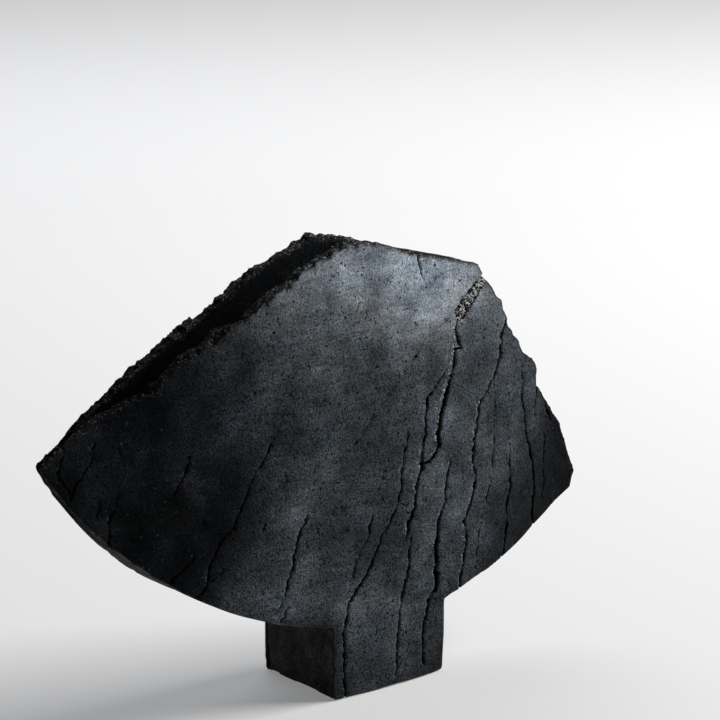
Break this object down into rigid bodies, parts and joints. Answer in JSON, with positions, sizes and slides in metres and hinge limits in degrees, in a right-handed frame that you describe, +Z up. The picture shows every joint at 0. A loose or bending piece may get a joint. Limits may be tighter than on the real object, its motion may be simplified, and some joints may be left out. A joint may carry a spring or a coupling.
{
  "type": "slab-built clay vase",
  "caption": "Free-standing fan-shaped vase: two bowed black clay slabs joined along a curved underside, open along torn upper rims, on a hollow square foot.",
  "frame": {"origin": "centre of the underside of the foot", "axes": "+Z up, +X to the right along the front slab, +Y towards the back slab"},
  "size_m": [0.481, 0.0882, 0.33],
  "materials": {
    "black_clay": "unglazed, smoothed and smoke-fired, satin",
    "underside_clay": "unglazed, knife-cut, matt brown-grey",
    "foot_clay": "unglazed, scraped, matt brown-black",
    "coil_clay": "unglazed, finger-pressed, matt"
  },
  "bodies": {
    "root": {"front_slab": "black_clay", "back_slab": "black_clay", "left_underside_band": "underside_clay", "right_underside_band": "underside_clay", "foot_left_wall": "foot_clay", "foot_right_wall": "foot_clay", "foot_base": "foot_clay", "foot_base_coil": "coil_clay", "seam_coil_front_left": "coil_clay", "seam_coil_front_right": "coil_clay", "seam_coil_back_left": "coil_clay", "seam_coil_back_right": "coil_clay", "foot_coil_front_left": "coil_clay", "foot_coil_front_right": "coil_clay", "foot_coil_back_left": "coil_clay", "foot_coil_back_right": "coil_clay"}
  },
  "joints": []
}
